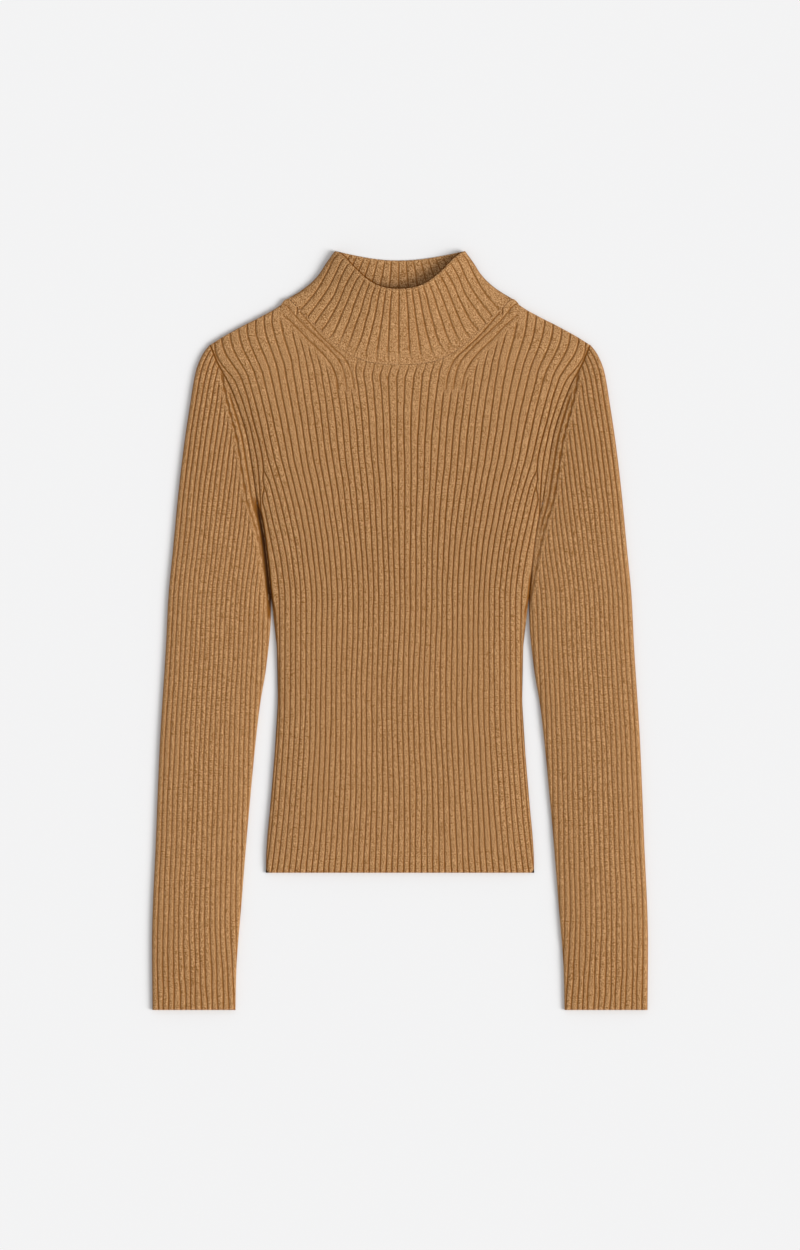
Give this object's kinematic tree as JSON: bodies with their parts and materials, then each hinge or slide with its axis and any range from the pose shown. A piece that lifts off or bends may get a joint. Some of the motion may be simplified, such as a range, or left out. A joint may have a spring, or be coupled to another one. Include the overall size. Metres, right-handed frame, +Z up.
{
  "type": "turtleneck sweater",
  "caption": "Long-sleeved rib-knit sweater with a short unfolded high collar, laid flat on its back with its sleeves at its sides.",
  "frame": {"origin": "On the surface the garment lies on, under the middle of its outline.", "axes": "+Z up from the surface it lies on, +Y towards the collar, +X towards the wearer's left sleeve."},
  "size_m": [0.495, 0.759, 0.0155],
  "materials": {
    "rib_knit": "camel brown melange rib knit, matt with a soft sheen"
  },
  "bodies": {
    "root": {"front": "rib_knit", "back": "rib_knit", "sleeve_left": "rib_knit", "sleeve_right": "rib_knit", "collar": "rib_knit"}
  },
  "joints": []
}
